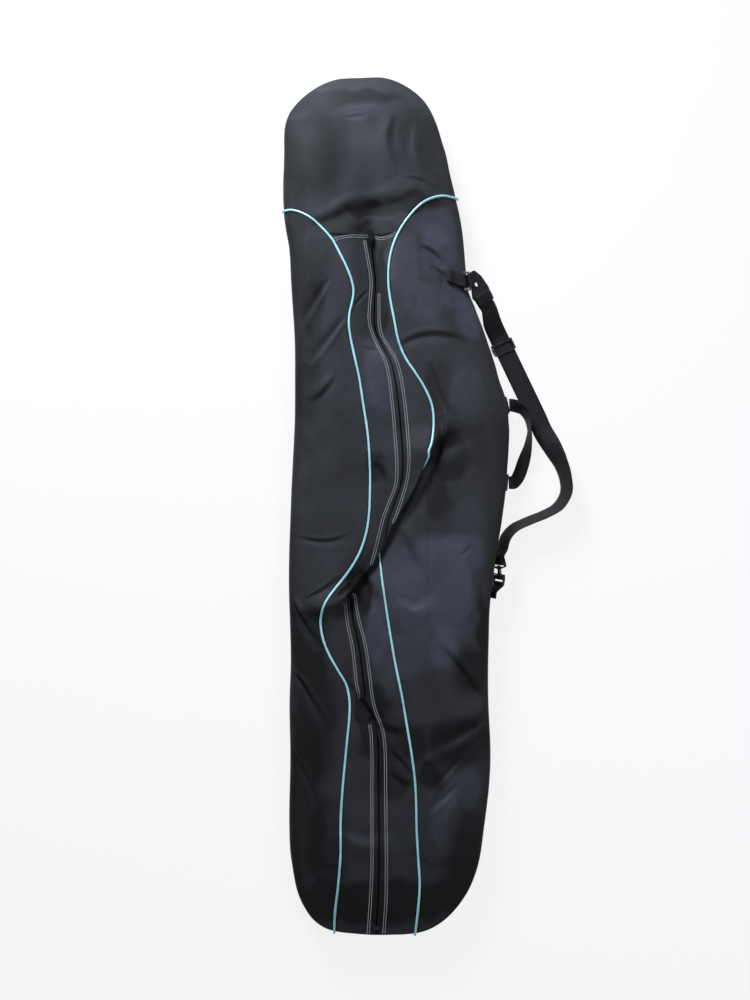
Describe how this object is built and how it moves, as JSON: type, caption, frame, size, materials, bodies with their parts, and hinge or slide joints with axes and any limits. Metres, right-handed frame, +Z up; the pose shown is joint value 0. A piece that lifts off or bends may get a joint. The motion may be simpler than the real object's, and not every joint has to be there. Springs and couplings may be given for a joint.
{
  "type": "snowboard bag",
  "caption": "Long soft padded bag for a snowboard, with a wavy full-length front zip, piped panel seams, a carry handle and a clip-on shoulder strap",
  "frame": {"origin": "on the back panel's outer face, the face that the bag rests on, at the middle of the bag's length and near the middle of its width", "axes": "+X to the side that carries the strap and handle, +Y to the nose end, +Z up, out of the zipped front"},
  "size_m": [0.5652, 1.6506, 0.086],
  "materials": {
    "shell_fabric": "woven, matt",
    "piping_fabric": "woven, matt",
    "webbing": "woven webbing",
    "moulded_plastic": "fine grain",
    "zip_tape": "knitted tape",
    "zip_coil": "satin coil",
    "zip_metal": "satin black",
    "bare_metal": "dull plated"
  },
  "bodies": {
    "shell": {"back_panel": "shell_fabric", "gusset": "shell_fabric", "nose_panel": "shell_fabric", "left_side_panel": "shell_fabric", "right_side_panel": "shell_fabric", "left_zip_panel": "shell_fabric", "right_zip_panel": "shell_fabric", "left_piping": "piping_fabric", "right_piping": "piping_fabric", "zip_tape_left": "zip_tape", "zip_tape_right": "zip_tape", "zip_coil_left": "zip_coil", "zip_coil_right": "zip_coil", "zip_bottom_stop": "bare_metal", "upper_tab": "webbing", "lower_tab": "webbing", "lower_ring": "bare_metal", "lower_hook": "moulded_plastic", "handle_patch_upper": "webbing", "handle_patch_lower": "webbing"},
    "slider": {"zip_slider": "zip_metal"},
    "pull": {"zip_pull": "zip_metal"},
    "strap": {"upper_ring": "bare_metal", "upper_hook": "moulded_plastic", "shoulder_strap": "webbing", "lower_swivel_eye": "moulded_plastic"},
    "adjuster": {"strap_adjuster": "moulded_plastic"},
    "upper_gate": {"upper_hook_gate": "moulded_plastic"},
    "lower_gate": {"lower_hook_gate": "moulded_plastic"},
    "handle": {"carry_handle": "webbing"}
  },
  "joints": [
    {"name": "slider_run", "type": "slide", "parent": "shell", "child": "slider", "axis": [0.0212, -0.9998, 0], "range_m": [0, 0.15]},
    {"name": "pull_flip", "type": "hinge", "parent": "slider", "child": "pull", "pos_m": [-0.02789, 0.48373, 0.06535], "axis": [0.9998, 0.0212, 0], "range_deg": [0, 165]},
    {"name": "strap_swing", "type": "hinge", "parent": "shell", "child": "strap", "pos_m": [0.1485, 0.40508, 0.0596], "axis": [0.1073, -0.992, -0.0663], "range_deg": [0, 24]},
    {"name": "adjuster_slide", "type": "slide", "parent": "strap", "child": "adjuster", "axis": [0.4085, -0.9127, 0], "range_m": [-0.004, 0.11]},
    {"name": "upper_gate_press", "type": "hinge", "parent": "strap", "child": "upper_gate", "pos_m": [0.16489, 0.40701, 0.05717], "axis": [0.1073, -0.992, -0.0663], "range_deg": [0, 14], "stiffness_Nm_per_rad": 0.002},
    {"name": "lower_gate_press", "type": "hinge", "parent": "shell", "child": "lower_gate", "pos_m": [0.20479, -0.16132, 0.02381], "axis": [0.4006, -0.0674, 0.9138], "range_deg": [0, 14], "stiffness_Nm_per_rad": 0.002},
    {"name": "handle_lift", "type": "hinge", "parent": "shell", "child": "handle", "pos_m": [0.23096, 0.01733, 0.026], "axis": [-0.0346, -0.9994, 0], "range_deg": [0, 58]}
  ]
}
